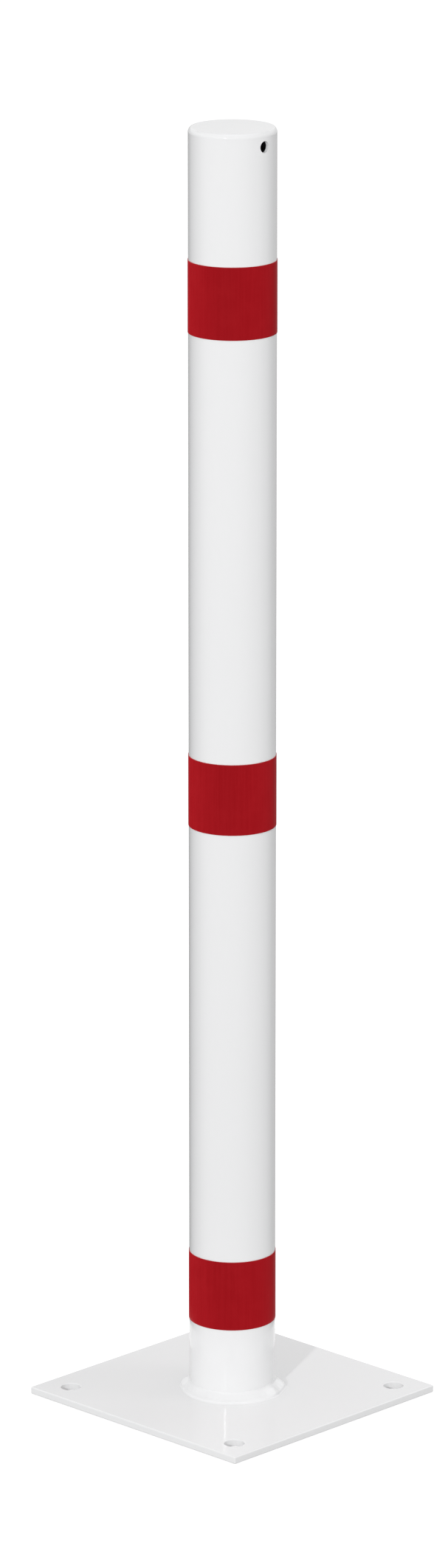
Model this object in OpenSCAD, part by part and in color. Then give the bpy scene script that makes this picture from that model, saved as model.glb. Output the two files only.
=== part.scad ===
// Bolt-down barrier post, in millimetres.
// A round steel tube stands on a square base plate, joined by a fillet weld. A steel disc closes the
// head, welded in and ground flush, and three wraps of red reflective film go round the tube.
// The origin is the centre of the plate's underside, +Z is up and the plate's sides lie along X and Y.
// The vent hole in the head looks towards -Y.

/* [Post tube] */
// Height of the post, from the plate's underside to the flat top
post_h = 900; // [700:10:1200]
// Outer diameter of the tube
tube_d = 60; // [48:1:76]
// Wall thickness of the tube
tube_wall = 2.5; // [2:0.1:3.2]
// Diameter of the vent hole near the top
vent_d = 8; // [5:0.5:14]

/* [Closed head] */
// Thickness of the disc that closes the tube
cap_t = 4; // [3:0.5:8]
// Gap between the disc's edge and the tube's bore, under the weld
cap_gap = 0.15; // [0.05:0.05:0.4]
// Radius to which the rim of the head is ground
head_round = 4.3; // [2:0.1:8]
// Height of the ground rim, from the tube's straight side up to the flat top
head_drop = 3.5; // [1:0.25:4.5]
// Width of the groove weld round the disc, at the flat top
cap_weld_w = 2.4; // [1.2:0.2:3]
// Depth of the groove weld round the disc
cap_weld_depth = 2; // [1:0.25:2.75]
// Wall left between the disc's underside and the vent hole
vent_below_cap = 2; // [1:0.5:20]

/* [Base plate] */
// Side length of the square plate
plate_w = 200; // [160:5:300]
// Thickness of the plate
plate_t = 5; // [4:0.5:12]
// Radius of the plate's four upright corners
plate_corner_r = 1; // [1:0.5:12]
// Rounding of the plate's upper and lower edges
plate_edge_r = 0.8; // [0.4:0.1:0.9]
// Diameter of the four bolt holes
bolt_hole_d = 14; // [9:1:22]
// Distance from a side of the plate to the bolt holes' centres
bolt_edge = 20; // [15:1:35]
// Broken edge at the top of each bolt hole
hole_break = 0.4; // [0.2:0.1:0.8]
// Diameter of the drain hole in the plate, under the tube
drain_d = 25; // [12:1:36]

/* [Foot weld] */
// Height to which the bead climbs the tube
weld_up = 5.2; // [3:0.1:9]
// Reach of the bead over the plate
weld_out = 6.3; // [3:0.1:10]
// Height by which the middle of the bead stands over a flat fillet, below zero for a hollow one
weld_crown = -0.2; // [-0.8:0.1:1.5]
// Height of the rolled edge just inside the bead's lower toe
toe_roll = 0.6; // [0:0.1:1]
// Most by which the two toes of the bead wander
weld_wander = 1.6; // [0:0.1:2]
// Height of the ripples left by the weld pool
ripple_h = 0.1; // [0:0.05:0.5]
// Distance from one ripple to the next
ripple_pitch = 4.2; // [3:0.2:8]
// Extra bead where one run of weld ends on another
overlap_h = 0.9; // [0:0.1:1.5]

/* [Reflective bands] */
// Height of each band of film
band_h = 50; // [30:5:80]
// Thickness of the film with its adhesive
film_t = 0.3; // [0.15:0.05:0.6]
// Distance from the flat top down to the upper band
upper_band_drop = 90; // [40:5:150]
// Height of the lower band's lower edge over the ground
lower_band_z = 57; // [30:1:120]
// Distance by which the middle band sits over the midpoint of the other two
middle_band_lift = 6.5; // [-60:0.5:60]
// Length by which the end of the film laps over its start
film_lap = 9; // [4:1:20]

/* [Hidden] */

// Facets of the round surfaces
$fn = 128;
// Length by which a cutting shape runs past the face that it cuts
overrun = 1;

// Colours of the coated steel and of the film
coat_white = [0.93, 0.93, 0.94];
film_red = [0.64, 0.07, 0.10];

tube_r = tube_d / 2;
bore_r = tube_r - tube_wall;
tube_h = post_h - plate_t;
rim_r = max(head_round, head_drop);
vent_z = post_h - cap_t - vent_below_cap - vent_d / 2;
corner_c = plate_w / 2 - plate_corner_r;
bolt_c = plate_w / 2 - bolt_edge;
upper_band_z = post_h - upper_band_drop - band_h;
middle_band_z = (upper_band_z + lower_band_z) / 2 + middle_band_lift;
// Direction of the film's lap, on the side away from the usual view, and its angle on the tube
lap_heading = 45;
lap_angle = film_lap / (tube_r + film_t) * 180 / PI;

// The bead is a ring of sections round the tube, each a row of points from the upper to the lower toe.
// Its inner face is a polygon that the round tube just fits in.
weld_steps = 240;
weld_rows = 12;
weld_in_r = tube_r / cos(180 / weld_steps);
ripple_count = round(2 * PI * (tube_r + weld_out / 2) / ripple_pitch);
// Lag of a ripple's ends behind its middle, in degrees of its own wave, which gives it a crescent shape
ripple_lag = 150;
// Power that moves the rolled edge from the middle of the face towards the lower toe
roll_skew = 3.5;
// Headings at which one run of weld ends on the other, and the angle over which the extra bead fades
run_ends = [128, 281, 313];
overlap_spread = 9;
// The toes wander as a sum of waves round the post: turns per lap, share of the wander and heading
upper_waves = [[2, 0.15, 300], [5, 0.12, 40], [9, 0.08, 130]];
lower_waves = [[1, 0.35, 245], [2, 0.4, 230], [3, 0.15, 75], [7, 0.1, 200]];

// Angle between two headings, from 0 to 180
function turn_between(a, b) = abs((a - b + 540) % 360 - 180);
// Sum of waves round the post at heading a, from about -1 to 1
function waves(a, list) = [for (w = list) w[1] * cos(w[0] * (a - w[2]))] * [for (w = list) 1];
// Extra bead at heading a, 1 at the end of a run and fading to each side
function overlap_at(a) = max([for (e = run_ends) exp(-pow(turn_between(a, e) / overlap_spread, 2))]);
function climb_at(a) = weld_up + weld_wander * waves(a, upper_waves) + overlap_h * overlap_at(a);
function reach_at(a) = weld_out + weld_wander * waves(a, lower_waves) + overlap_h * overlap_at(a);
// Height of the ripples at heading a and share u of the way from the upper toe to the lower one
function ripple_at(a, u) = ripple_h * cos(ripple_count * a + ripple_lag * pow(2 * u - 1, 2));
function roll_at(u) = toe_roll * pow(sin(180 * pow(u, roll_skew)), 2);
function crown_at(a, u) =
    sin(180 * u) * (weld_crown + 2 * overlap_h * overlap_at(a) + ripple_at(a, u)) + roll_at(u);
// One point of the bead's face, as a radius and a height
function bead_point(a, u) =
    let (up = climb_at(a), out = reach_at(a), slope = norm([up, out]), crown = crown_at(a, u))
    [weld_in_r + out * u + crown * up / slope, plate_t + up * (1 - u) + crown * out / slope];
// One section of the bead: the row of face points, closed by the root where tube and plate meet
function bead_section(a) =
    concat([for (i = [0 : weld_rows]) bead_point(a, i / weld_rows)], [[weld_in_r, plate_t]]);

// Outline of half the post with its rim ground round, which the tube, the disc and their weld all fill.
// The rim's arc leaves the tube's side smoothly and meets the flat top at a soft edge.
module post_outline() {
    square([tube_r, post_h - head_drop]);
    square([tube_r - rim_r, post_h]);
    intersection() {
        square([tube_r, post_h]);
        translate([tube_r - rim_r, post_h - head_drop])
            circle(r = rim_r);
    }
}

// V groove between the tube's bore and the disc, open at the top
module disc_groove() {
    groove_top = cap_weld_depth + overrun;
    half_top = cap_weld_w / 2 * groove_top / cap_weld_depth;
    translate([bore_r, post_h - cap_weld_depth])
        polygon([[0, 0], [half_top, groove_top], [-half_top, groove_top]]);
}

// Cross-section of a flat bar with its edges rounded, standing on the X axis
module bar_outline(width) {
    translate([-width / 2, plate_edge_r])
        square([width, plate_t - 2 * plate_edge_r]);
    translate([-width / 2 + plate_edge_r, 0])
        square([width - 2 * plate_edge_r, plate_t]);
    for (side = [-1, 1], z = [plate_edge_r, plate_t - plate_edge_r])
        translate([side * (width / 2 - plate_edge_r), z])
            circle(r = plate_edge_r);
}

// Quarter round at the corner of the plate, with the same rounded edges as its sides
module plate_corner() {
    rotate_extrude(angle = 90)
        intersection() {
            bar_outline(2 * plate_corner_r);
            square([plate_corner_r, plate_t]);
        }
}

module base_plate() {
    color(coat_white)
    difference() {
        union() {
            for (turn = [0, 90])
                rotate([90, 0, turn])
                    linear_extrude(height = 2 * corner_c, center = true)
                        bar_outline(plate_w);
            for (turn = [0 : 90 : 270])
                rotate([0, 0, turn])
                    translate([corner_c, corner_c, 0])
                        plate_corner();
        }
        for (x = [-bolt_c, bolt_c], y = [-bolt_c, bolt_c])
            translate([x, y, 0])
                bolt_hole();
        translate([0, 0, -overrun])
            cylinder(d = drain_d, h = plate_t + 2 * overrun);
    }
}

// Bolt hole with its upper edge broken
module bolt_hole() {
    translate([0, 0, -overrun])
        cylinder(d = bolt_hole_d, h = plate_t + 2 * overrun);
    translate([0, 0, plate_t - hole_break])
        cylinder(r1 = bolt_hole_d / 2, r2 = bolt_hole_d / 2 + hole_break + overrun, h = hole_break + overrun);
}

module post_tube() {
    color(coat_white)
    difference() {
        rotate_extrude()
            difference() {
                intersection() {
                    post_outline();
                    translate([bore_r, plate_t])
                        square([tube_wall, tube_h]);
                }
                disc_groove();
            }
        translate([0, 0, vent_z])
            rotate([90, 0, 0])
                cylinder(d = vent_d, h = tube_r + overrun);
    }
}

module top_disc() {
    color(coat_white)
    rotate_extrude()
        difference() {
            intersection() {
                post_outline();
                translate([0, post_h - cap_t])
                    square([bore_r - cap_gap, cap_t]);
            }
            disc_groove();
        }
}

// Weld that fills the groove, ground to the same outline as the head
module disc_weld() {
    color(coat_white)
    rotate_extrude()
        intersection() {
            post_outline();
            disc_groove();
        }
}

// Fillet weld round the tube's foot: a rippled bead in three runs that end on each other
module foot_weld() {
    ring = [for (j = [0 : weld_steps - 1]) bead_section(360 * j / weld_steps)];
    count = weld_rows + 2;
    points = [
        for (j = [0 : weld_steps - 1], p = ring[j])
            [p[0] * cos(360 * j / weld_steps), p[0] * sin(360 * j / weld_steps), p[1]]
    ];
    faces = [
        for (j = [0 : weld_steps - 1], i = [0 : count - 1])
            let (here = j * count, next = (j + 1) % weld_steps * count, k = (i + 1) % count)
            each [[here + i, here + k, next + i], [here + k, next + k, next + i]]
    ];
    color(coat_white)
    polyhedron(points = points, faces = faces, convexity = 8);
}

// Plan of the place where the film lies double, as a wedge from the post's axis
module lap_wedge() {
    wedge_r = (tube_r + 3 * film_t) / cos(lap_angle / 2);
    polygon([
        [0, 0],
        [wedge_r * cos(lap_heading - lap_angle / 2), wedge_r * sin(lap_heading - lap_angle / 2)],
        [wedge_r * cos(lap_heading + lap_angle / 2), wedge_r * sin(lap_heading + lap_angle / 2)]
    ]);
}

// One wrap of film round the tube, with its end lapped over its start
module film_wrap(z) {
    color(film_red)
    translate([0, 0, z])
        linear_extrude(height = band_h)
            difference() {
                union() {
                    circle(r = tube_r + film_t);
                    intersection() {
                        circle(r = tube_r + 2 * film_t);
                        lap_wedge();
                    }
                }
                circle(r = tube_r);
            }
}

module upper_band() {
    film_wrap(upper_band_z);
}

module middle_band() {
    film_wrap(middle_band_z);
}

module lower_band() {
    film_wrap(lower_band_z);
}

base_plate();
post_tube();
foot_weld();
top_disc();
disc_weld();
upper_band();
middle_band();
lower_band();
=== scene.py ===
"""Looks of a bolt-down barrier post: white powder coat, a rippled foot weld and red reflective film.

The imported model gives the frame. The tube and the plate keep their own solids and get a finish. The
head's face, the foot weld and the three wraps of film are modelled again with finer relief, in the same
place and from the same sizes. Lengths are in metres and angles in degrees unless a name says otherwise.
Headings go anticlockwise from +X, seen from above.
"""

import logging
import math
from dataclasses import dataclass
from enum import Enum
from typing import Sequence

import bpy
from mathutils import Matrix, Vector


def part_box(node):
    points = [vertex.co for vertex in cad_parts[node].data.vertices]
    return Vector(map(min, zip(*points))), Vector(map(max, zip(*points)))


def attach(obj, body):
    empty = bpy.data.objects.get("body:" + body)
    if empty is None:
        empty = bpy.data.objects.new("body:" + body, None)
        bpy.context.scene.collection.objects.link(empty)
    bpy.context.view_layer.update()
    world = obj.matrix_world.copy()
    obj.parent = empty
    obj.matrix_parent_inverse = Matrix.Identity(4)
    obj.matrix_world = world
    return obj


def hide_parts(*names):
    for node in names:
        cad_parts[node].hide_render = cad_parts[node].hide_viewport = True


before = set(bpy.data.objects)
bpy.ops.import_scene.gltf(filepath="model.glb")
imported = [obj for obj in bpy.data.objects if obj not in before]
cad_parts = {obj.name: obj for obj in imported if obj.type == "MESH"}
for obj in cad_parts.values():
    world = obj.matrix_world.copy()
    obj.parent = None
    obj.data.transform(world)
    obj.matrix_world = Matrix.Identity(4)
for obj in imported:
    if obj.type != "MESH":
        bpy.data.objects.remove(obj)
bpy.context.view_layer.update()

log = logging.getLogger("barrier_post")

IMAGE_SIZE = (607, 2126)
MM = 0.001
MERGE_DISTANCE = 0.001 * MM
RESIN_IOR = 1.5
MAIN_NOISE = (0.3, 0.7)
NIB_SCALE = 45.0
NIB_RADIUS = 0.035
DRIFT_SCALE = 14.0
STREAK_STRETCH = (1.0, 1.0, 0.03)

Colour = tuple[float, float, float]
Span = tuple[float, float]
Wave = tuple[float, float, float]
Socket = bpy.types.NodeSocket


class Slot(Enum):
    """Material slots of the record that the finishes stand for."""

    WHITE_COAT = "white_coat"
    RED_FILM = "red_film"


class Body(Enum):
    """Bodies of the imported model. Nothing on this post moves, so there is only one."""

    ROOT = "root"


# Small tools


def deselect_all() -> None:
    """Leaves edit mode and deselects everything, so that an operator acts only on what is chosen next."""
    if bpy.context.object is not None and bpy.context.object.mode != "OBJECT":
        bpy.ops.object.mode_set(mode="OBJECT")
    bpy.ops.object.select_all(action="DESELECT")


def make_active(piece: bpy.types.Object) -> None:
    """Selects one piece alone and makes it the active one.

    Args:
        piece: The object that the next operator works on.
    """
    deselect_all()
    piece.select_set(True)
    bpy.context.view_layer.objects.active = piece


def settle(piece: bpy.types.Object) -> None:
    """Moves a piece's place, turn and scale into its mesh, so that its object sits at the origin.

    Args:
        piece: The mesh object.
    """
    make_active(piece)
    bpy.ops.object.transform_apply(location=True, rotation=True, scale=True)


def edit_all(piece: bpy.types.Object) -> None:
    """Opens a piece in edit mode with everything selected.

    Args:
        piece: The mesh object.
    """
    make_active(piece)
    bpy.ops.object.mode_set(mode="EDIT")
    bpy.ops.mesh.select_all(action="SELECT")


def spin_full_turn(piece: bpy.types.Object, steps: int) -> None:
    """Spins a piece's section once round the post's axis and joins its end to its start.

    Args:
        piece: The mesh object, with the section in an upright plane through the axis.
        steps: Number of sections in the turn.
    """
    edit_all(piece)
    bpy.ops.mesh.spin(steps=steps, angle=math.radians(360), center=(0, 0, 0), axis=(0, 0, 1))
    bpy.ops.mesh.select_all(action="SELECT")
    bpy.ops.mesh.remove_doubles(threshold=MERGE_DISTANCE)
    bpy.ops.object.mode_set(mode="OBJECT")


def turn_outward(piece: bpy.types.Object) -> None:
    """Turns every face of a closed piece outward.

    Args:
        piece: The mesh object.
    """
    edit_all(piece)
    bpy.ops.mesh.normals_make_consistent(inside=False)
    bpy.ops.object.mode_set(mode="OBJECT")


def apply_modifier(piece: bpy.types.Object, kind: str, **settings: object) -> None:
    """Adds one modifier with its settings and applies it.

    Args:
        piece: The mesh object to change.
        kind: Blender's name for the modifier's type.
        **settings: Attributes to set on the modifier before it is applied.
    """
    make_active(piece)
    modifier = piece.modifiers.new(kind.lower(), kind)
    for name, value in settings.items():
        setattr(modifier, name, value)
    bpy.ops.object.modifier_apply(modifier=modifier.name)


def smooth(piece: bpy.types.Object, angle: float) -> None:
    """Shades a piece smooth, with hard edges kept where faces meet at more than an angle.

    Args:
        piece: The mesh object.
        angle: Largest angle between two faces that still shades smooth.
    """
    make_active(piece)
    bpy.ops.object.shade_smooth_by_angle(angle=math.radians(angle))


def polar(radius: float, heading: float, height: float) -> Vector:
    """Returns the point at a radius from the post's axis, a heading and a height."""
    turn = math.radians(heading)
    return Vector((radius * math.cos(turn), radius * math.sin(turn), height))


def dress(piece: bpy.types.Object, material: bpy.types.Material) -> None:
    """Puts one material in every slot of a piece, and adds a slot where it has none.

    Args:
        piece: The mesh object.
        material: The finish.
    """
    if not piece.material_slots:
        piece.data.materials.append(material)
    for slot in piece.material_slots:
        slot.material = material


def install(piece: bpy.types.Object, name: str, nodes: Sequence[str]) -> None:
    """Names a new piece, lets it stand for its solids and ties it to the post's body.

    Args:
        piece: The finished mesh object.
        name: Name of the piece.
        nodes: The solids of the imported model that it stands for.
    """
    piece.name = name
    piece.data.name = name
    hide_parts(*nodes)
    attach(piece, Body.ROOT.value)
    log.info("%s: %d faces, for %s", name, len(piece.data.polygons), ", ".join(nodes))


# Shader nodes


class Graph:
    """A node tree that is being filled: adds nodes, sets their inputs and links them."""

    def __init__(self, tree: bpy.types.NodeTree) -> None:
        """Starts on an emptied tree.

        Args:
            tree: The node tree of a material, a world or a node group.
        """
        self.tree = tree
        tree.nodes.clear()

    def add(self, kind: str, inputs: dict | None = None, **settings: object) -> bpy.types.Node:
        """Adds a node, sets its options and fills or links its inputs.

        Args:
            kind: Blender's class name of the node.
            inputs: Input name or number to a value, or to the output socket that feeds it.
            **settings: Attributes to set on the node.

        Returns:
            The new node.
        """
        node = self.tree.nodes.new(kind)
        for name, value in settings.items():
            setattr(node, name, value)
        for key, value in (inputs or {}).items():
            if isinstance(value, Socket):
                self.tree.links.new(value, node.inputs[key])
            else:
                node.inputs[key].default_value = value
        return node

    def calc(self, operation: str, first: object, second: object = 0.0) -> Socket:
        """Adds a Math node.

        Args:
            operation: Blender's name for the operation.
            first: Value or socket of the first operand.
            second: Value or socket of the second operand.

        Returns:
            The node's output.
        """
        return self.add("ShaderNodeMath", {0: first, 1: second}, operation=operation).outputs[0]

    def ramp(self, value: Socket, start: float, end: float, low: float, high: float) -> Socket:
        """Maps a range of a value onto another range, and holds the ends.

        Args:
            value: The value to map.
            start: Value that gives the low end.
            end: Value that gives the high end.
            low: Result at the start.
            high: Result at the end.

        Returns:
            The mapped value.
        """
        return self.add("ShaderNodeMapRange", {0: value, 1: start, 2: end, 3: low, 4: high}).outputs[0]

    def blend(self, factor: object, first: object, second: object) -> Socket:
        """Mixes two colours.

        Args:
            factor: Share of the second colour, as a value or socket.
            first: First colour.
            second: Second colour.

        Returns:
            The mixed colour.
        """
        return self.add("ShaderNodeMix", {0: factor, 6: first, 7: second}, data_type="RGBA").outputs[2]

    def bump(self, height: Socket, distance: float) -> Socket:
        """Adds a Bump node at full strength.

        Args:
            height: The relief.
            distance: Depth in metres that a height of 1 stands for.

        Returns:
            The bumped normal.
        """
        node = self.add("ShaderNodeBump", {"Height": height, "Strength": 1.0, "Distance": distance})
        return node.outputs["Normal"]

    def noise(self, place: Socket, scale: object, detail: float, roughness: float) -> Socket:
        """Adds a Noise node.

        Args:
            place: The position that it reads.
            scale: Features per metre, as a value or socket.
            detail: Number of finer layers.
            roughness: Share of the finer layers.

        Returns:
            The noise, from 0 to 1.
        """
        node = self.add(
            "ShaderNodeTexNoise", {"Vector": place, "Scale": scale, "Detail": detail, "Roughness": roughness}
        )
        return node.outputs["Fac"]

    def stretched(self, place: Socket, share: Sequence[float]) -> Socket:
        """Scales a position by a share along each axis."""
        return self.add("ShaderNodeVectorMath", {0: place, 1: share}, operation="MULTIPLY").outputs[0]


def rgba(colour: Colour, share: float = 1.0) -> tuple[float, float, float, float]:
    """Returns a colour scaled by a share, with full opacity."""
    return (colour[0] * share, colour[1] * share, colour[2] * share, 1.0)


def neutral(level: float) -> tuple[float, float, float, float]:
    """Returns a grey, where a level of 1 is white, with full opacity."""
    return (level, level, level, 1.0)


def new_material(name: str) -> tuple[bpy.types.Material, Graph]:
    """Makes a material with an empty graph.

    Args:
        name: Name of the material.

    Returns:
        The material and its graph, to be filled.
    """
    made = bpy.data.materials.new(name)
    made.use_nodes = True
    return made, Graph(made.node_tree)


def new_group(name: str, inputs: Sequence[str], outputs: Sequence[str]) -> Graph:
    """Makes an empty shader node group that reads a position, named Place, and some values.

    Args:
        name: Name of the group.
        inputs: Names of the values that it reads.
        outputs: Names of the values that it gives.

    Returns:
        The group's graph, to be filled.
    """
    tree = bpy.data.node_groups.new(name, "ShaderNodeTree")
    tree.interface.new_socket(name="Place", in_out="INPUT", socket_type="NodeSocketVector")
    for label in inputs:
        tree.interface.new_socket(name=label, in_out="INPUT", socket_type="NodeSocketFloat")
    for label in outputs:
        tree.interface.new_socket(name=label, in_out="OUTPUT", socket_type="NodeSocketFloat")
    return Graph(tree)


def sprayed_surface_group() -> bpy.types.NodeTree:
    """Builds the relief of a sprayed and baked coat: orange peel on a slow waviness, and a few dust nibs.

    Returns:
        A group from a position to a height and to a slow tone mask.
    """
    inputs = ["Peel Scale", "Wave Scale", "Wave Share", "Nib Share"]
    graph = new_group("sprayed_surface", inputs, ["Height", "Tone"])
    given = graph.add("NodeGroupInput").outputs
    peel = graph.noise(given["Place"], given["Peel Scale"], detail=1.5, roughness=0.45)
    wave = graph.noise(given["Place"], given["Wave Scale"], detail=1.0, roughness=0.4)
    speck = graph.add("ShaderNodeTexVoronoi", {"Vector": given["Place"], "Scale": NIB_SCALE})
    spot = graph.ramp(speck.outputs["Distance"], 0.0, NIB_RADIUS, 1.0, 0.0)
    nib = graph.calc("MULTIPLY", spot, given["Nib Share"])
    height = graph.calc("ADD", peel, graph.calc("MULTIPLY", wave, given["Wave Share"]))
    tone = graph.noise(given["Place"], DRIFT_SCALE, detail=3.0, roughness=0.55)
    graph.add("NodeGroupOutput", {"Height": graph.calc("ADD", height, nib), "Tone": tone})
    return graph.tree


def drawn_film_group() -> bpy.types.NodeTree:
    """Builds the look of reflective film: fine upright streaks, a cloudy mottle and the beads under the face.

    Returns:
        A group from a position to masks of streaks, mottle and beads.
    """
    inputs = ["Streak Scale", "Mottle Scale", "Bead Scale"]
    graph = new_group("drawn_film", inputs, ["Streak", "Mottle", "Bead"])
    given = graph.add("NodeGroupInput").outputs
    drawn = graph.stretched(given["Place"], STREAK_STRETCH)
    streak = graph.noise(drawn, given["Streak Scale"], detail=2.0, roughness=0.6)
    mottle = graph.noise(given["Place"], given["Mottle Scale"], detail=4.0, roughness=0.6)
    bead = graph.add("ShaderNodeTexVoronoi", {"Vector": given["Place"], "Scale": given["Bead Scale"]})
    graph.add("NodeGroupOutput", {"Streak": streak, "Mottle": mottle, "Bead": bead.outputs["Distance"]})
    return graph.tree


@dataclass(frozen=True)
class PowderCoat:
    """Glossy white powder coat over zinc-coated steel, bare inside the tube."""

    name: str = "white_powder_coat"
    tone: Colour = (0.845, 0.847, 0.853)
    tone_drift: float = 0.985
    zinc: Colour = (0.60, 0.61, 0.62)
    roughness: Span = (0.09, 0.12)
    zinc_roughness: float = 0.5
    peel_height: float = 0.006 * MM
    peel_scale: float = 330.0
    wave_scale: float = 95.0
    wave_share: float = 0.8
    nib_share: float = 0.6
    bore_radius: float = 28.2 * MM
    bore_fade: float = 1.2 * MM
    bore_top: float = 897.0 * MM

    def material(self, surface: bpy.types.NodeTree) -> bpy.types.Material:
        """Builds the finish on Object coordinates.

        Args:
            surface: The shared group of a sprayed surface.

        Returns:
            The material.
        """
        made, graph = new_material(self.name)
        place = graph.add("ShaderNodeTexCoord").outputs["Object"]
        relief = graph.add(
            "ShaderNodeGroup",
            {
                "Place": place,
                "Peel Scale": self.peel_scale,
                "Wave Scale": self.wave_scale,
                "Wave Share": self.wave_share,
                "Nib Share": self.nib_share,
            },
            node_tree=surface,
        )
        tone = relief.outputs["Tone"]
        coat = graph.blend(tone, rgba(self.tone), rgba(self.tone, self.tone_drift))
        bare = self._bare_bore(graph, place)
        gloss = graph.ramp(tone, *MAIN_NOISE, *self.roughness)
        roughness = graph.add("ShaderNodeMix", {0: bare, 2: gloss, 3: self.zinc_roughness}, data_type="FLOAT")
        shader = graph.add(
            "ShaderNodeBsdfPrincipled",
            {
                "Base Color": graph.blend(bare, coat, rgba(self.zinc)),
                "Roughness": roughness.outputs[0],
                "Normal": graph.bump(relief.outputs["Height"], self.peel_height),
                "IOR": RESIN_IOR,
            },
        )
        graph.add("ShaderNodeOutputMaterial", {"Surface": shader.outputs[0]})
        return made

    def _bare_bore(self, graph: Graph, place: Socket) -> Socket:
        """Masks the tube's inside, which the spray doesn't reach.

        Args:
            graph: The material's graph.
            place: Object coordinates.

        Returns:
            A mask, 1 inside the tube and 0 on every outer face.
        """
        flat = graph.stretched(place, (1.0, 1.0, 0.0))
        across = graph.add("ShaderNodeVectorMath", {0: flat}, operation="LENGTH").outputs["Value"]
        inside = graph.ramp(across, self.bore_radius - self.bore_fade, self.bore_radius, 1.0, 0.0)
        height = graph.add("ShaderNodeSeparateXYZ", {0: place}).outputs["Z"]
        below_top = graph.calc("LESS_THAN", height, self.bore_top)
        return graph.calc("MULTIPLY", inside, below_top)


@dataclass(frozen=True)
class WeldCoat(PowderCoat):
    """The powder coat where it lies over the foot weld, duller and with a deeper relief."""

    name: str = "weld_powder_coat"
    roughness: Span = (0.26, 0.32)
    peel_height: float = 0.012 * MM


@dataclass(frozen=True)
class ReflectiveFilm:
    """Red retroreflective film: a clear face over glass beads in a red layer, with a paler cut edge."""

    name: str = "red_reflective_film"
    tone: Colour = (0.395, 0.0090, 0.0145)
    streak_tone: Colour = (0.355, 0.0062, 0.0105)
    mottle_tone: Colour = (0.44, 0.013, 0.019)
    edge_tone: Colour = (0.50, 0.10, 0.10)
    streak_scale: float = 600.0
    streak_share: float = 0.55
    streak_span: Span = (0.35, 0.65)
    mottle_scale: float = 80.0
    mottle_share: float = 0.35
    mottle_span: Span = (0.45, 0.75)
    roughness: Span = (0.30, 0.38)
    specular: float = 0.02
    flatness: float = 1.0
    bead_scale: float = 1500.0
    bead_height: float = 0.012 * MM
    edge_width: float = 0.35 * MM

    def material(self, film: bpy.types.NodeTree, height: float) -> bpy.types.Material:
        """Builds the finish, with its pattern on Object coordinates and its cut edges on the film's UV map.

        Args:
            film: The shared group of drawn film.
            height: Height of the band, to which the map's second coordinate runs.

        Returns:
            The material.
        """
        made, graph = new_material(self.name)
        coordinates = graph.add("ShaderNodeTexCoord").outputs
        pattern = graph.add(
            "ShaderNodeGroup",
            {
                "Place": coordinates["Object"],
                "Streak Scale": self.streak_scale,
                "Mottle Scale": self.mottle_scale,
                "Bead Scale": self.bead_scale,
            },
            node_tree=film,
        )
        streak = graph.ramp(pattern.outputs["Streak"], *self.streak_span, 0.0, self.streak_share)
        mottle = graph.ramp(pattern.outputs["Mottle"], *self.mottle_span, 0.0, self.mottle_share)
        colour = graph.blend(streak, rgba(self.tone), rgba(self.streak_tone))
        colour = graph.blend(mottle, colour, rgba(self.mottle_tone))
        across = graph.add("ShaderNodeSeparateXYZ", {0: coordinates["UV"]}).outputs["Y"]
        to_edge = graph.calc("SUBTRACT", 0.5, graph.calc("ABSOLUTE", graph.calc("SUBTRACT", across, 0.5)))
        edge = graph.ramp(to_edge, 0.0, self.edge_width / height, 1.0, 0.0)
        shader = graph.add(
            "ShaderNodeBsdfPrincipled",
            {
                "Base Color": graph.blend(edge, colour, rgba(self.edge_tone)),
                "Roughness": graph.ramp(pattern.outputs["Mottle"], *MAIN_NOISE, *self.roughness),
                "Normal": graph.bump(pattern.outputs["Bead"], self.bead_height),
                "IOR": RESIN_IOR,
                "Specular IOR Level": self.specular,
                "Diffuse Roughness": self.flatness,
            },
        )
        graph.add("ShaderNodeOutputMaterial", {"Surface": shader.outputs[0]})
        return made


# Parts of the post


@dataclass
class CoatedSteel:
    """The tube and the plate, which keep their own solids and get the coat."""

    nodes: tuple[str, ...] = ("base_plate", "post_tube")

    def dress(self, coat: bpy.types.Material) -> None:
        """Puts the coat on each solid.

        Args:
            coat: The powder coat.
        """
        for name in self.nodes:
            dress(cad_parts[name], coat)
            log.info("%s: coated", name)


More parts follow.
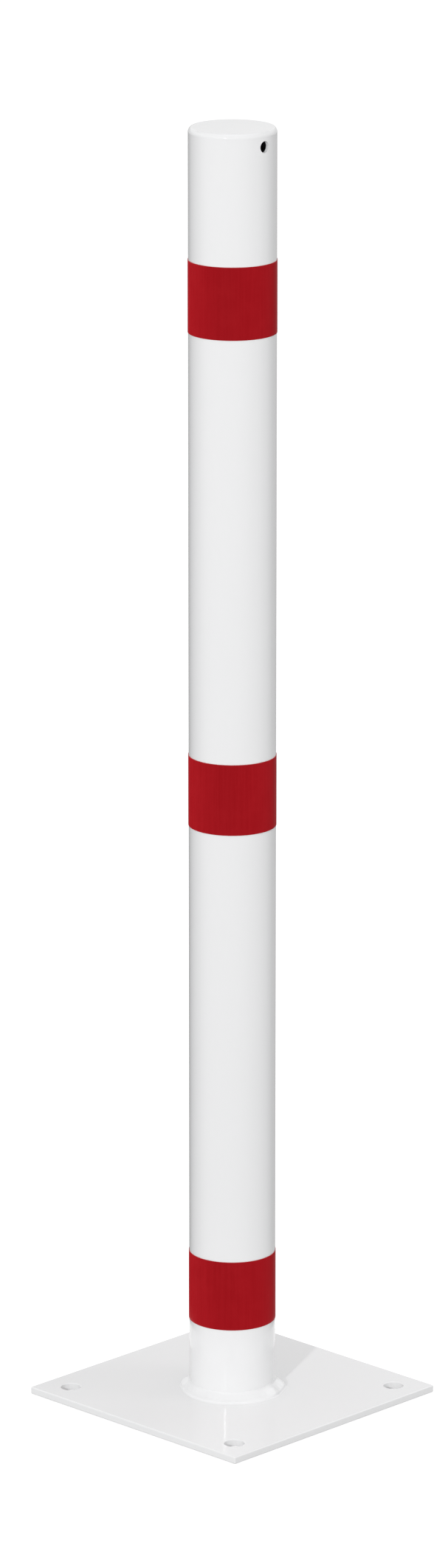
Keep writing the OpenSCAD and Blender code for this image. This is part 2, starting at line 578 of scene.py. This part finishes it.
@dataclass
class HeadFace:
    """Closed face of the head: the disc and its ground weld, under one skin of coat that runs over the rim.

    A narrow facet, left by the grinding near the rim's foot, catches the lamp. The sizes are in
    millimetres, as those of the solids that it stands for.
    """

    nodes: tuple[str, ...] = ("top_disc", "disc_weld")
    top: float = 900.0
    tube_radius: float = 30.0
    rim_radius: float = 4.3
    rim_drop: float = 3.5
    disc_radius: float = 27.35
    disc_thickness: float = 4.0
    groove_radius: float = 27.5
    groove_half: float = 1.2
    groove_depth: float = 2.0
    skin: float = 0.02
    skin_root: float = 0.05
    skirt: float = 0.3
    facet: Span = (78.0, 81.2)
    facet_hold: float = 0.04
    flat_shares: tuple[float, ...] = (0.0, 0.4, 0.8)
    roll_power: float = 6.0
    roll_rows: int = 16
    rim_rows: int = 20
    steps: int = 256
    smooth_angle: float = 30.0

    def _weld_edge(self) -> float:
        """Finds where the weld's slanting side meets the ground rim.

        Returns:
            Angle on the rim's arc, from upright.
        """
        lean = self.groove_half / self.groove_depth
        root_height = self.rim_drop - self.groove_depth
        offset = self.groove_radius - (self.tube_radius - self.rim_radius) - lean * root_height
        stretch = 1 + lean**2
        height = (math.sqrt(stretch * self.rim_radius**2 - offset**2) - offset * lean) / stretch
        return math.degrees(math.acos(height / self.rim_radius))

    def _rim_point(self, angle: float, lift: float) -> Vector:
        """Returns the radius and height of a point lifted off the rim's arc at an angle from upright."""
        reach = self.rim_radius + lift
        turn = math.radians(angle)
        centre = self.tube_radius - self.rim_radius
        return Vector((centre + reach * math.sin(turn), self.top - self.rim_drop + reach * math.cos(turn)))

    def _profile(self) -> list[Vector]:
        """Lists the section from the middle of the face, over the rim and back under the disc.

        Returns:
            Radius and height of each point.
        """
        edge = self._weld_edge()
        end = self._rim_point(edge, self.skin)
        fall = self.top - end.y
        length = fall * self.roll_power / math.tan(math.radians(edge))
        start = end.x - length
        face = [Vector((start * share, self.top)) for share in self.flat_shares]
        rolls = [row / self.roll_rows for row in range(self.roll_rows + 1)]
        roll = [Vector((start + length * share, self.top - fall * share**self.roll_power)) for share in rolls]
        turns = [edge + (90.0 - edge) * row / self.rim_rows for row in range(self.rim_rows + 1)]
        high, low = [self._rim_point(turn, self.skin) for turn in self.facet]
        rim = [self._rim_point(turn, self.skin) for turn in turns[1:] if turn < self.facet[0]]
        rim += [high, high.lerp(low, self.facet_hold), low.lerp(high, self.facet_hold), low]
        rim += [self._rim_point(turn, self.skin) for turn in turns if turn > self.facet[1]]
        foot = rim[-1].y - self.skirt
        lip = [Vector((rim[-1].x, foot)), Vector((self.tube_radius - self.skin_root, foot))]
        inside = [self._rim_point(turn, -self.skin_root) for turn in reversed(turns)]
        root, underside = self.top - self.groove_depth, self.top - self.disc_thickness
        disc = [
            Vector((self.groove_radius, root)), Vector((self.disc_radius, root)),
            Vector((self.disc_radius, underside)), Vector((0.0, underside)),
        ]
        return face + roll + rim + lip + inside + disc

    def build(self) -> bpy.types.Object:
        """Opens a ring of points into the section and spins it round the post.

        Returns:
            The face, in place.
        """
        profile = self._profile()
        deselect_all()
        bpy.ops.mesh.primitive_circle_add(vertices=len(profile) + 1, radius=self.tube_radius * MM)
        face = bpy.context.object
        bpy.ops.object.mode_set(mode="EDIT")
        bpy.ops.mesh.select_all(action="DESELECT")
        bpy.ops.object.mode_set(mode="OBJECT")
        face.data.vertices[0].select = True
        bpy.ops.object.mode_set(mode="EDIT")
        bpy.ops.mesh.delete(type="VERT")
        bpy.ops.object.mode_set(mode="OBJECT")
        for vertex, point in zip(face.data.vertices, profile):
            vertex.co = (point.x * MM, 0.0, point.y * MM)
        spin_full_turn(face, self.steps)
        turn_outward(face)
        smooth(face, self.smooth_angle)
        return face

    def make(self, coat: bpy.types.Material) -> None:
        """Builds, dresses and installs the face.

        Args:
            coat: The powder coat.
        """
        face = self.build()
        dress(face, coat)
        install(face, "head_face", self.nodes)


@dataclass
class FootWeld:
    """Fillet weld round the tube's foot, in three runs that end on each other, softened by the coat.

    Its sizes are in millimetres, as those of the solid that it stands for. Each wave of a toe has its number
    of turns round the post, its share of the wander and the heading of a crest.
    """

    node: str = "foot_weld"
    tube_radius: float = 30.0
    plate_top: float = 5.0
    climb: float = 5.2
    reach: float = 6.3
    crown: float = -0.2
    roll: float = 0.6
    roll_skew: float = 3.5
    wander: float = 1.6
    ripple: float = 0.05
    ripple_pitch: float = 4.2
    ripple_lag: float = 150.0
    overlap: float = 0.9
    overlap_spread: float = 9.0
    run_ends: tuple[float, ...] = (128.0, 281.0, 313.0)
    upper_waves: tuple[Wave, ...] = ((2, 0.15, 300.0), (5, 0.12, 40.0), (9, 0.08, 130.0))
    lower_waves: tuple[Wave, ...] = ((1, 0.35, 245.0), (2, 0.4, 230.0), (3, 0.15, 75.0), (7, 0.1, 200.0))
    toe_blend: float = 1.8
    toe_sink: float = 0.12
    toe_share: float = 0.06
    toe_rows: int = 6
    face_rows: int = 28
    steps: int = 720
    smooth_angle: float = 60.0

    def _waves(self, heading: float, waves: Sequence[Wave]) -> float:
        """Returns the sum of a list of waves round the post at a heading."""
        return sum(share * math.cos(math.radians(turns * (heading - start))) for turns, share, start in waves)

    def _overlap_at(self, heading: float) -> float:
        """Returns the extra bead at a heading, 1 at the end of a run and fading to each side."""
        turns = [abs((heading - end + 540.0) % 360.0 - 180.0) for end in self.run_ends]
        return max(math.exp(-((turn / self.overlap_spread) ** 2)) for turn in turns)

    def _ripple_at(self, heading: float, share: float) -> float:
        """Returns the height of the weld pool's ripples at a heading and a share of the way down the face."""
        count = round(2 * math.pi * (self.tube_radius + self.reach / 2) / self.ripple_pitch)
        lag = self.ripple_lag * (2 * share - 1) ** 2
        return self.ripple * math.cos(math.radians(count * heading + lag))

    def _face_point(self, heading: float, share: float) -> Vector:
        """Finds a point of the bead's face in its upright section.

        Args:
            heading: Heading of the section.
            share: Share of the way from the upper toe to the lower one.

        Returns:
            Radius and height, in millimetres.
        """
        extra = self.overlap * self._overlap_at(heading)
        up = self.climb + self.wander * self._waves(heading, self.upper_waves) + extra
        out = self.reach + self.wander * self._waves(heading, self.lower_waves) + extra
        slope = math.hypot(up, out)
        roll = self.roll * math.sin(math.pi * share**self.roll_skew) ** 2
        crown = math.sin(math.pi * share) * (self.crown + 2 * extra + self._ripple_at(heading, share)) + roll
        radius = self.tube_radius + out * share + crown * up / slope
        return Vector((radius, self.plate_top + up * (1 - share) + crown * out / slope))

    def _toe(self, face: Vector, toe: Vector, away: Vector) -> list[Vector]:
        """Rounds the inner corner at a toe, as the coat fills it.

        Args:
            face: Point of the face where the rounding starts.
            toe: The toe.
            away: Point on the tube or plate where the rounding ends.

        Returns:
            Points from the face to the far end, without the first.
        """
        points = []
        for step in range(1, self.toe_rows + 1):
            t = step / self.toe_rows
            points.append(face * (1 - t) ** 2 + toe * 2 * t * (1 - t) + away * t * t)
        return points

    def _section(self, heading: float) -> list[Vector]:
        """Lists one closed section of the bead: toe on the tube, face, toe on the plate, and the root.

        Args:
            heading: Heading of the section.

        Returns:
            Radius and height of each point, in millimetres.
        """
        low, high = self.toe_share, 1 - self.toe_share
        shares = [low + (high - low) * row / (self.face_rows - 1) for row in range(self.face_rows)]
        face = [self._face_point(heading, share) for share in shares]
        upper, lower = self._face_point(heading, 0.0), self._face_point(heading, 1.0)
        up_toe = self._toe(face[0], upper, upper + Vector((-self.toe_sink, self.toe_blend)))
        out_toe = self._toe(face[-1], lower, lower + Vector((self.toe_blend, -self.toe_sink)))
        root = Vector((self.tube_radius - 2 * self.toe_sink, self.plate_top - 2 * self.toe_sink))
        return list(reversed(up_toe)) + face + out_toe + [root]

    def build(self) -> bpy.types.Object:
        """Spins a closed section round the post and sets each of its points on the bead.

        Returns:
            The bead, in place.
        """
        count = len(self._section(0.0))
        start_radius, start_size = self.tube_radius + self.reach, self.reach / 2
        deselect_all()
        bpy.ops.mesh.primitive_circle_add(
            vertices=count, radius=start_size * MM, location=(start_radius * MM, 0, self.plate_top * MM),
            rotation=(math.radians(90), 0, 0),
        )
        bead = bpy.context.object
        settle(bead)
        spin_full_turn(bead, self.steps)
        sections = [self._section(360.0 * step / self.steps) for step in range(self.steps)]
        for vertex in bead.data.vertices:
            x, y, z = vertex.co
            step = round(math.degrees(math.atan2(y, x)) / 360.0 * self.steps) % self.steps
            turn = math.degrees(math.atan2(z - self.plate_top * MM, math.hypot(x, y) - start_radius * MM))
            radius, height = sections[step][round(turn / 360.0 * count) % count]
            vertex.co = polar(radius * MM, 360.0 * step / self.steps, height * MM)
        turn_outward(bead)
        smooth(bead, self.smooth_angle)
        return bead

    def make(self, coat: bpy.types.Material) -> None:
        """Builds, dresses and installs the bead.

        Args:
            coat: The powder coat of the weld.
        """
        bead = self.build()
        dress(bead, coat)
        install(bead, "foot_weld_bead", [self.node])


@dataclass
class FilmBand:
    """One wrap of reflective film: a strip cut to length, rolled round the tube and lapped on its start."""

    name: str
    node: str
    tube_radius: float = 30.0 * MM
    thickness: float = 0.3 * MM
    lap: float = 9.0 * MM
    lap_heading: float = 45.0
    lap_ramp: float = 1.5 * MM
    edge_round: float = 0.08 * MM
    edge_segments: int = 2
    edge_angle: float = 60.0
    steps: int = 400
    rows: int = 24
    smooth_angle: float = 40.0

    def height(self) -> float:
        """Returns the height of the band, as its solid has it."""
        low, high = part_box(self.node)
        return high.z - low.z

    def build(self) -> bpy.types.Object:
        """Cuts a flat strip, rolls it round the tube and gives it its thickness.

        Returns:
            The film, in place.
        """
        low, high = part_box(self.node)
        outer = self.tube_radius + self.thickness
        lap_turn = math.degrees(self.lap / outer)
        ramp_turn = math.degrees(self.lap_ramp / outer)
        start = self.lap_heading - lap_turn / 2
        deselect_all()
        bpy.ops.mesh.primitive_grid_add(x_subdivisions=self.steps, y_subdivisions=self.rows, size=1.0)
        strip = bpy.context.object
        for vertex in strip.data.vertices:
            turn = (vertex.co.x + 0.5) * (360.0 + lap_turn)
            lift = min(max((turn - 360.0 + ramp_turn) / ramp_turn, 0.0), 1.0)
            lift = lift * lift * (3 - 2 * lift) * self.thickness
            rise = (vertex.co.y + 0.5) * (high.z - low.z)
            vertex.co = polar(self.tube_radius + lift, start + turn, low.z + rise)
        apply_modifier(strip, "SOLIDIFY", thickness=self.thickness, offset=self._outward(strip))
        apply_modifier(
            strip, "BEVEL", width=self.edge_round, segments=self.edge_segments, limit_method="ANGLE",
            angle_limit=math.radians(self.edge_angle),
        )
        smooth(strip, self.smooth_angle)
        return strip

    def _outward(self, strip: bpy.types.Object) -> float:
        """Returns the side on which the thickness goes, so that the film grows away from the tube."""
        face = strip.data.polygons[0]
        flat = Vector((face.center.x, face.center.y, 0.0))
        return 1.0 if face.normal.dot(flat) > 0 else -1.0

    def make(self, film: bpy.types.Material) -> None:
        """Builds, dresses and installs the band.

        Args:
            film: The reflective film.
        """
        strip = self.build()
        dress(strip, film)
        install(strip, self.name, [self.node])


# Studio


class Glow(Enum):
    """What a lamp is for: the light on the coat's body colour, or the glint in its gloss."""

    BODY = "body"
    GLINT = "glint"


@dataclass(frozen=True)
class Lamp:
    """A soft box or a small lamp, aimed at the post."""

    name: str
    heading: float
    elevation: float
    distance: float
    width: float
    height: float
    watts: float
    purpose: Glow = Glow.BODY
    target_height: float = 0.45

    def hang(self) -> bpy.types.Object:
        """Adds the lamp in its place.

        Returns:
            The lamp.
        """
        across = self.distance * math.cos(math.radians(self.elevation))
        rise = self.distance * math.sin(math.radians(self.elevation))
        place = polar(across, self.heading, self.target_height + rise)
        aim = Vector((0.0, 0.0, self.target_height)) - place
        turn = aim.to_track_quat("-Z", "Y").to_euler()
        deselect_all()
        bpy.ops.object.light_add(type="AREA", location=place, rotation=turn)
        lamp = bpy.context.object
        lamp.name = self.name
        lamp.data.shape = "RECTANGLE"
        lamp.data.size = self.width
        lamp.data.size_y = self.height
        lamp.data.energy = self.watts
        lamp.visible_glossy = self.purpose is Glow.GLINT
        lamp.visible_diffuse = self.purpose is Glow.BODY
        return lamp


@dataclass
class Studio:
    """Plain pale floor and soft light: a pale room, a few soft boxes and grey cards seen in the gloss."""

    room_light: float = 0.55
    room_overhead: float = 0.40
    floor_tone: float = 0.45
    floor_glow: float = 0.77
    floor_shade: float = 0.36
    floor_size: float = 90.0
    floor_gap: float = 0.2 * MM
    ring_sides: int = 96
    card_height: float = 0.3 * MM
    card_inner: float = 0.16
    card_outer: float = 30.0
    card_tones: tuple[Span, ...] = (
        (0.0, 0.32), (9.0, 0.40), (33.0, 0.42), (57.0, 0.25), (81.0, 0.0), (101.0, 0.0), (125.0, 0.25),
        (153.0, 0.90), (297.0, 0.90), (325.0, 0.63), (349.0, 0.17), (360.0, 0.32),
    )
    wall_tones: tuple[Span, ...] = (
        (0.0, 0.76), (43.0, 0.76), (47.0, 0.70), (52.0, 0.52), (150.0, 0.60), (360.0, 0.76),
    )
    wall_radius: float = 2.0
    wall_bottom: float = 0.62
    wall_top: float = 1.25
    ceiling_tone: float = 0.29
    ceiling_bottom: float = 2.05
    ceiling_top: float = 2.6
    ceiling_gap: float = 0.02
    lamps: tuple[Lamp, ...] = (
        Lamp("key_lamp", heading=205.0, elevation=15.4, distance=5.0, width=0.16, height=0.16, watts=101.0),
        Lamp("side_box", heading=305.0, elevation=15.0, distance=2.6, width=0.9, height=1.4, watts=7.7),
        Lamp("back_box", heading=0.0, elevation=50.0, distance=2.6, width=0.9, height=1.4, watts=3.4),
        Lamp(
            "key_glint", heading=205.0, elevation=15.4, distance=5.0, width=0.16, height=0.16, watts=20.0,
            purpose=Glow.GLINT,
        ),
    )

    def build(self) -> None:
        """Builds the room, the floor, the cards and the lamps."""
        self._room()
        self._floor()
        self._floor_card()
        self._wall_card()
        self._ceiling_card()
        for lamp in self.lamps:
            lamp.hang()
            log.info("%s: %.0f W", lamp.name, lamp.watts)

    def _seen_white(self, graph: Graph) -> Socket:
        """Masks the rays to which the background is plain white.

        Args:
            graph: The graph of the floor or of the room.

        Returns:
            1 for camera, glossy and transmission rays, or else 0.
        """
        path = graph.add("ShaderNodeLightPath").outputs
        seen = graph.calc("MAXIMUM", path["Is Camera Ray"], path["Is Glossy Ray"])
        return graph.calc("MAXIMUM", seen, path["Is Transmission Ray"])

    def _room(self) -> None:
        """Lights the post from all round, a little more from overhead, and shows white behind it."""
        room = bpy.data.worlds.new("pale_room")
        bpy.context.scene.world = room
        room.use_nodes = True
        graph = Graph(room.node_tree)
        way = graph.add("ShaderNodeTexCoord").outputs["Generated"]
        rise = graph.add("ShaderNodeSeparateXYZ", {0: way}).outputs["Z"]
        light = graph.ramp(rise, 0.0, 1.0, self.room_light, self.room_light + self.room_overhead)
        grey = graph.add("ShaderNodeCombineColor", {0: light, 1: light, 2: light}).outputs["Color"]
        colour = graph.blend(self._seen_white(graph), grey, neutral(1.0))
        background = graph.add("ShaderNodeBackground", {"Color": colour, "Strength": 1.0})
        graph.add("ShaderNodeOutputWorld", {"Surface": background.outputs[0]})

    def _floor(self) -> None:
        """Lays a wide floor, white to the eye with the post's shadow on it, and grey to its light."""
        deselect_all()
        bpy.ops.mesh.primitive_plane_add(size=self.floor_size, location=(0, 0, -self.floor_gap))
        floor = bpy.context.object
        floor.name = "studio_floor"
        made, graph = new_material("studio_floor")
        made.cycles.emission_sampling = "NONE"
        bounce = graph.add("ShaderNodeBsdfDiffuse", {"Color": neutral(self.floor_tone)})
        shade = graph.add("ShaderNodeBsdfDiffuse", {"Color": neutral(self.floor_shade)})
        glow = graph.add("ShaderNodeEmission", {"Color": neutral(1.0), "Strength": self.floor_glow})
        seen = graph.add("ShaderNodeAddShader", {0: shade.outputs[0], 1: glow.outputs[0]})
        mixed = graph.add(
            "ShaderNodeMixShader", {0: self._seen_white(graph), 1: bounce.outputs[0], 2: seen.outputs[0]}
        )
        graph.add("ShaderNodeOutputMaterial", {"Surface": mixed.outputs[0]})
        dress(floor, made)
        settle(floor)

    def _card_material(self, name: str, tones: Sequence[Span]) -> bpy.types.Material:
        """Builds the grey of a card that only shows in the coat's gloss, graded by heading.

        Args:
            name: Name of the material.
            tones: Headings in rising order, each with its grey level, where 1 is white.

        Returns:
            The material.
        """
        made, graph = new_material(name)
        made.cycles.emission_sampling = "NONE"
        place = graph.add("ShaderNodeTexCoord").outputs["Object"]
        spot = graph.add("ShaderNodeSeparateXYZ", {0: place}).outputs
        heading = graph.calc("ARCTAN2", spot["Y"], spot["X"])
        turns = graph.calc("FRACT", graph.calc("DIVIDE", heading, 2 * math.pi))
        grey = graph.add("ShaderNodeValToRGB", {"Fac": turns})
        stops = grey.color_ramp.elements
        while len(stops) < len(tones):
            stops.new(1.0)
        for stop, (degrees, tone) in zip(stops, tones):
            stop.position = degrees / 360.0
            stop.color = neutral(tone)
        plain = graph.add("ShaderNodeEmission", {"Color": grey.outputs["Color"], "Strength": 1.0})
        graph.add("ShaderNodeOutputMaterial", {"Surface": plain.outputs[0]})
        return made

    def _only_in_gloss(self, card: bpy.types.Object) -> None:
        """Keeps a card out of the picture, the light and the shadows, so that it only shows in gloss."""
        for use in ("camera", "diffuse", "shadow", "transmission", "volume_scatter"):
            setattr(card, f"visible_{use}", False)

    def _ring(self, name: str, inner: float, outer: float, low: float, high: float) -> bpy.types.Object:
        """Draws a circle round the post and extrudes it to a second one, flat, upright or slanting.

        Args:
            name: Name of the ring.
            inner: Radius of the first circle.
            outer: Radius of the second circle.
            low: Height of the first circle.
            high: Height of the second circle.

        Returns:
            The ring.
        """
        deselect_all()
        bpy.ops.mesh.primitive_circle_add(vertices=self.ring_sides, radius=inner, location=(0, 0, low))
        ring = bpy.context.object
        settle(ring)
        edit_all(ring)
        bpy.ops.mesh.extrude_region_move(TRANSFORM_OT_translate={"value": (0, 0, high - low)})
        bpy.ops.transform.resize(value=(outer / inner, outer / inner, 1.0), center_override=(0, 0, high))
        bpy.ops.object.mode_set(mode="OBJECT")
        ring.name = name
        self._only_in_gloss(ring)
        return ring

    def _floor_card(self) -> None:
        """Lays the grey card round the post that gives the tube its darker edges."""
        ring = self._ring("floor_card", self.card_inner, self.card_outer, self.card_height, self.card_height)
        dress(ring, self._card_material("floor_card", self.card_tones))

    def _wall_card(self) -> None:
        """Stands the grey card round the post that the plate mirrors."""
        ring = self._ring("wall_card", self.wall_radius, self.wall_radius, self.wall_bottom, self.wall_top)
        dress(ring, self._card_material("wall_card", self.wall_tones))

    def _ceiling_card(self) -> None:
        """Hangs the grey card over the post that keeps the bead and the head's rim below white."""
        ring = self._ring(
            "ceiling_card", self.wall_radius, self.ceiling_gap, self.ceiling_bottom, self.ceiling_top
        )
        tones = [(0.0, self.ceiling_tone), (360.0, self.ceiling_tone)]
        dress(ring, self._card_material("ceiling_card", tones))


@dataclass(frozen=True)
class PhotoCamera:
    """Camera at the photograph's viewpoint, fitted to the post's edges and holes.

    Its place is given across the view, back from the post and up. The view runs along the heading, turned
    right by the yaw and down by the pitch.
    """

    heading: float = 45.0
    across: float = -64.16 * MM
    distance: float = 4815.8 * MM
    height: float = 1776.6 * MM
    pitch: float = 15.472
    yaw: float = 0.695
    focal_pixels: float = 9877.0
    sensor: float = 36.0
    far_end: float = 200.0

    def build(self) -> None:
        """Adds the camera and makes it the scene's own."""
        right = polar(1.0, self.heading - 90.0, 0.0)
        ahead = polar(1.0, self.heading, 0.0)
        place = right * self.across - ahead * self.distance + Vector((0.0, 0.0, self.height))
        yaw, pitch = math.radians(self.yaw), math.radians(self.pitch)
        aim = right * math.sin(yaw) * math.cos(pitch) + ahead * math.cos(yaw) * math.cos(pitch)
        aim -= Vector((0.0, 0.0, math.sin(pitch)))
        deselect_all()
        bpy.ops.object.camera_add(location=place, rotation=aim.to_track_quat("-Z", "Y").to_euler())
        camera = bpy.context.object
        camera.name = "photo_camera"
        camera.data.sensor_width = self.sensor
        camera.data.lens = self.focal_pixels * self.sensor / max(IMAGE_SIZE)
        camera.data.clip_end = self.far_end
        bpy.context.scene.camera = camera
        log.info("camera: %.1f mm lens, %.2f m away", camera.data.lens, place.length)


def main() -> None:
    """Builds the camera, the post's finishes and pieces, and the studio."""
    logging.basicConfig(level=logging.INFO, format="%(message)s")
    bpy.context.scene.view_settings.view_transform = "Standard"
    PhotoCamera().build()
    sprayed, drawn = sprayed_surface_group(), drawn_film_group()
    coat = PowderCoat().material(sprayed)
    CoatedSteel().dress(coat)
    HeadFace().make(coat)
    FootWeld().make(WeldCoat().material(sprayed))
    bands = [
        FilmBand("upper_film", "upper_band"),
        FilmBand("middle_film", "middle_band"),
        FilmBand("lower_film", "lower_band"),
    ]
    film = ReflectiveFilm().material(drawn, bands[0].height())
    for band in bands:
        band.make(film)
    Studio().build()


if __name__ == "__main__":
    main()
